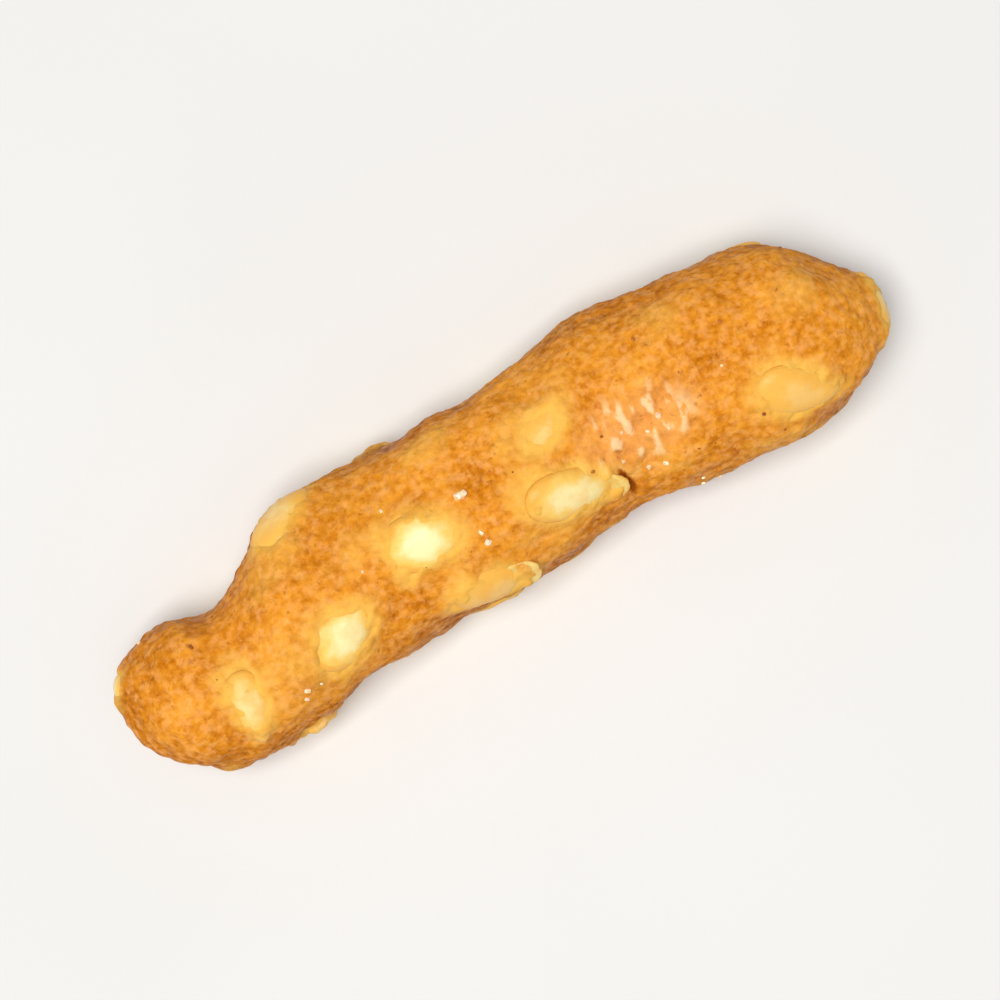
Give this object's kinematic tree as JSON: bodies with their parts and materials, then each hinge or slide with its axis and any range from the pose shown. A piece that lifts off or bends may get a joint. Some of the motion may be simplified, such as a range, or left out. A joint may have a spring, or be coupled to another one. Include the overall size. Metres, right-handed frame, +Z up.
{
  "type": "sesame stick",
  "caption": "Short fried strand of seasoned dough with sesame seeds in its golden brown skin, rounded at both ends.",
  "frame": {"origin": "under the middle of the stick's bounding box, on the surface it rests on", "axes": "+X along the stick from its narrow knobbed end to its broad end, +Z up from the belly it rests on, +Y across it"},
  "size_m": [0.0326, 0.0104, 0.007],
  "materials": {
    "fried_dough": "fried dough, golden brown, blistered, with a slight shine of oil",
    "sesame_seed": "hulled sesame seed, creamy yellow, smooth with a soft shine",
    "salt": "fine salt crystals, clear and glinting"
  },
  "bodies": {
    "root": {"sesame_stick": "fried_dough"}
  },
  "joints": []
}
